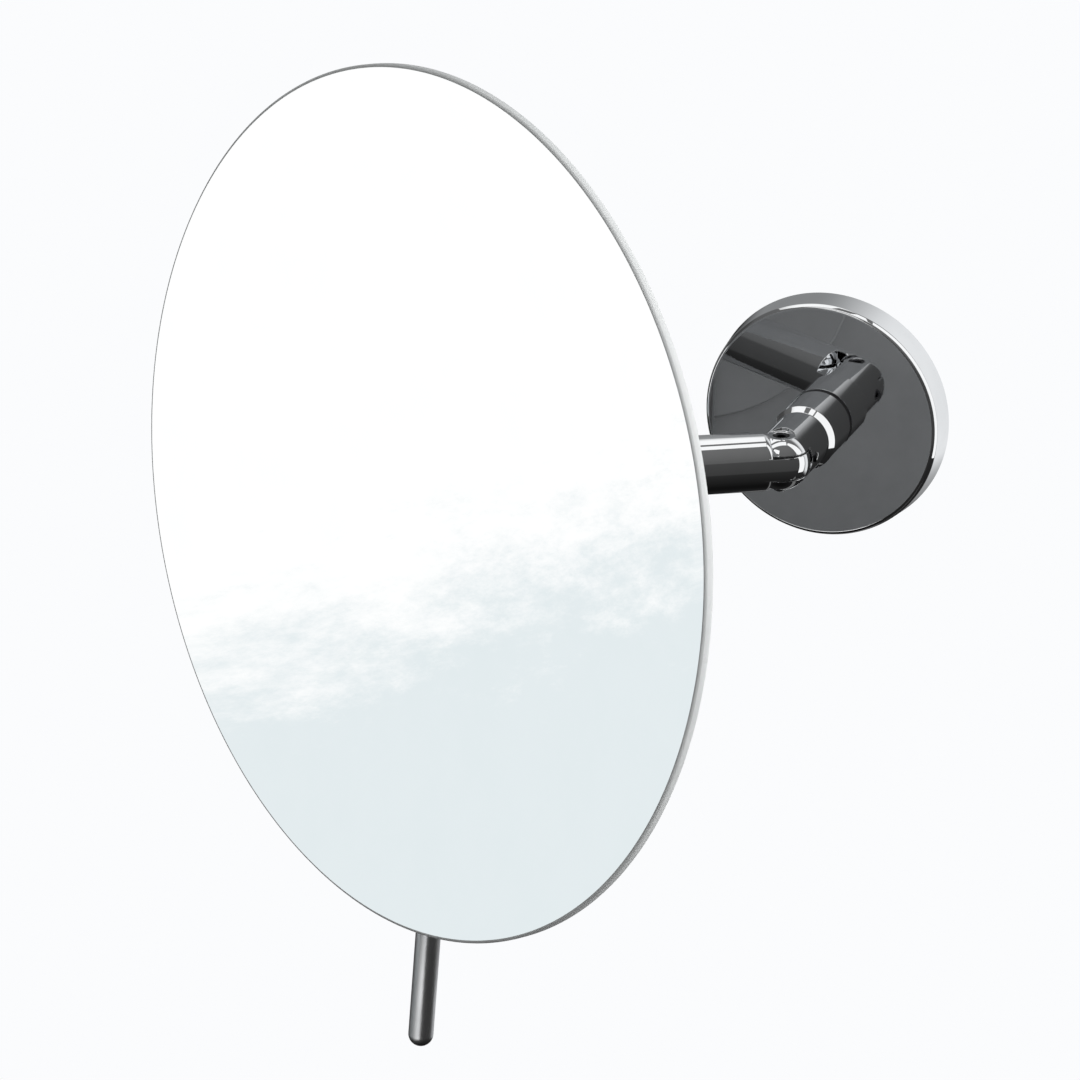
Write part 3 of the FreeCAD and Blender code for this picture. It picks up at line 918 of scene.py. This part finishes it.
# %% [markdown]
# Soft boxes are plain glowing rectangles that only reflections and light see. A glow can fade
# from one place to another, so that a box has a soft edge, and the sheet on the left, which
# fills the mirror, goes from white above to a pale cloudy grey below.

# %% Glowing cards


def glow(name, strength, fade=None, cloud=0.0, faded=None):
    """A light-giving material. Fade: a direction, where the light is full, and where it has gone."""
    material = bpy.data.materials.new(name)
    material.use_nodes = True
    tree = material.node_tree
    tree.nodes.clear()
    lamp = add_node(tree, "ShaderNodeEmission", (5, 0), Color=(1, 1, 1, 1), Strength=strength)
    out = add_node(tree, "ShaderNodeOutputMaterial", (6, 0))
    tree.links.new(lamp.outputs["Emission"], out.inputs["Surface"])
    if fade:
        direction, full, end = fade
        place = add_node(tree, "ShaderNodeTexCoord", (0, 0)).outputs["Object"]
        puffs = add_node(tree, "ShaderNodeTexNoise", (1, 1), Scale=110.0, Detail=10.0, Roughness=0.75)
        tree.links.new(place, puffs.inputs["Vector"])
        drift = add_node(tree, "ShaderNodeMath", (2, 0))
        drift.operation = "MULTIPLY_ADD"
        drift.inputs[1].default_value = cloud
        tree.links.new(puffs.outputs["Fac"], drift.inputs[0])
        tree.links.new(towards(tree, place, direction, (1, 0)), drift.inputs[2])
        mask = soft_step(tree, drift.outputs["Value"], full, end, (3, 0))
        if faded:
            white = add_node(tree, "ShaderNodeRGB", (3, 1))
            white.outputs[0].default_value = (1, 1, 1, 1)
            tree.links.new(laid_over(tree, white.outputs[0], faded, mask, (4, 0)), lamp.inputs["Color"])
        else:
            clear = add_node(tree, "ShaderNodeBsdfTransparent", (5, 1))
            blend = add_node(tree, "ShaderNodeMixShader", (6, 1))
            tree.links.new(mask, blend.inputs["Fac"])
            tree.links.new(lamp.outputs["Emission"], blend.inputs[1])
            tree.links.new(clear.outputs["BSDF"], blend.inputs[2])
            tree.links.new(blend.outputs["Shader"], out.inputs["Surface"])
    return material


def card(name, place, width, length, material):
    """A flat rectangle of the studio."""
    mesh = bmesh.new()
    bmesh.ops.create_grid(mesh, x_segments=1, y_segments=1, size=0.5)
    bmesh.ops.scale(mesh, vec=(width, length, 1), verts=mesh.verts)
    mesh.transform(place)
    data = bpy.data.meshes.new(name)
    mesh.to_mesh(data)
    mesh.free()
    data.materials.append(material)
    sheet = bpy.data.objects.new(name, data)
    bpy.context.scene.collection.objects.link(sheet)
    sheet.visible_camera = False
    sheet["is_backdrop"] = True
    return sheet


def facing(point):
    """A matrix at a point whose z axis looks at the object and whose y axis leans up."""
    towards_object = -Vector((point[0], point[1], 0)).normalized()
    return frame_at(Vector(point), up.cross(towards_object), up)


soft_white = glow("soft white", 1.1)
print("glow", soft_white.name)

# %% [markdown]
# Two boxes lie overhead along the arm and draw the two white bands on it.

# %% Place the boxes overhead
box_height = 0.9
box_start = -0.24
box_end = 0.6
across = Vector((0.527, -0.85, 0))
along = Vector((-0.85, -0.527, 0))
rear_fade = glow("rear box", 1.1, (across, -0.55 * box_height, -1.4 * box_height))
overhead = (("front_box", -0.05, 0.23, soft_white), ("rear_box", -1.4, -0.2, rear_fade))
for name, start, end, material in overhead:
    sideways = across * (start + end) / 2 * box_height
    lengthways = along * (box_start + box_end) / 2
    spot = frame_at(sideways + lengthways + up * box_height, across, along)
    card(name, spot, (end - start) * box_height, box_end - box_start, material)
print("overhead", [name for name, *_ in overhead])

# %% [markdown]
# The other cards stand upright. A tall one on the right draws the bright lines on the balls and
# on the taper of the collar. A box high in front is seen twice over, through the rose, as the
# light stripe along the post. A low card lights the rod, with a dim flag beside it. The sheet on
# the left fills the mirror. The fill is for the rim of the glass, and reflections do not see it.

# %% Place the standing cards
stripe_fade = glow("stripe box", 0.6, ((1, 0, 0), -0.03, 0.22))
rod_fade = glow("rod light", 1.3, ((0.857, -0.51, 0), 0.06, -0.09))
rod_shade = glow("rod flag", 0.16)
rim_fill = glow("edge fill", 3.3)
pale_grey = (0.77, 0.83, 0.85)
sheet_fade = glow("left sheet", 1.03, ((0, 0.1624, 1), -0.144, -0.182), 0.1, pale_grey)
standing = (
    ("glint_box", (-0.1, -0.66, 0.82), 0.42, 0.42, soft_white),
    ("post_box", (0.03, -0.7, 0.4), 0.36, 0.2, stripe_fade),
    ("tall_card", (0.293, 0.062, 0.33), 0.15, 1.04, soft_white),
    ("rod_card", (-0.115, -0.203, -0.172), 0.17, 0.06, rod_fade),
    ("rod_flag", (0.05, 0.06, -0.19), 0.3, 0.06, rod_shade),
    ("edge_fill", (0.86, -0.42, 0.22), 0.8, 0.8, rim_fill),
    ("left_sheet", (-0.67, -0.26, -0.095), 0.48, 0.39, sheet_fade),
)
for name, point, width, length, material in standing:
    sheet = card(name, facing(point), width, length, material)
    sheet.visible_glossy = material is not rim_fill
print("standing", [name for name, *_ in standing])

# %% [markdown]
# The floor is a large pale sheet that only the camera sees, so that the chrome keeps its darks.

# %% Lay the floor
floor_drop = 0.45
floor_size = 12.0
floor_glow = glow("pale floor", 1.0)
floor_glow.node_tree.nodes["Emission"].inputs["Color"].default_value = (*floor_colour, 1)
floor = card("floor", Matrix.Translation((0, 0, -floor_drop)), floor_size, floor_size, floor_glow)
floor.visible_camera = True
floor.visible_glossy = False
floor.visible_diffuse = False
print("floor", floor_drop, "m below the rose's middle")

# %% [markdown]
# Last, the boxes round the solids and round the finished pieces are printed side by side.

# %% Print the sizes side by side
new_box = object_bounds()
for name, box in (("cad", cad_box), ("visual", new_box)):
    print(name, [[round(value, 5) for value in corner] for corner in box])
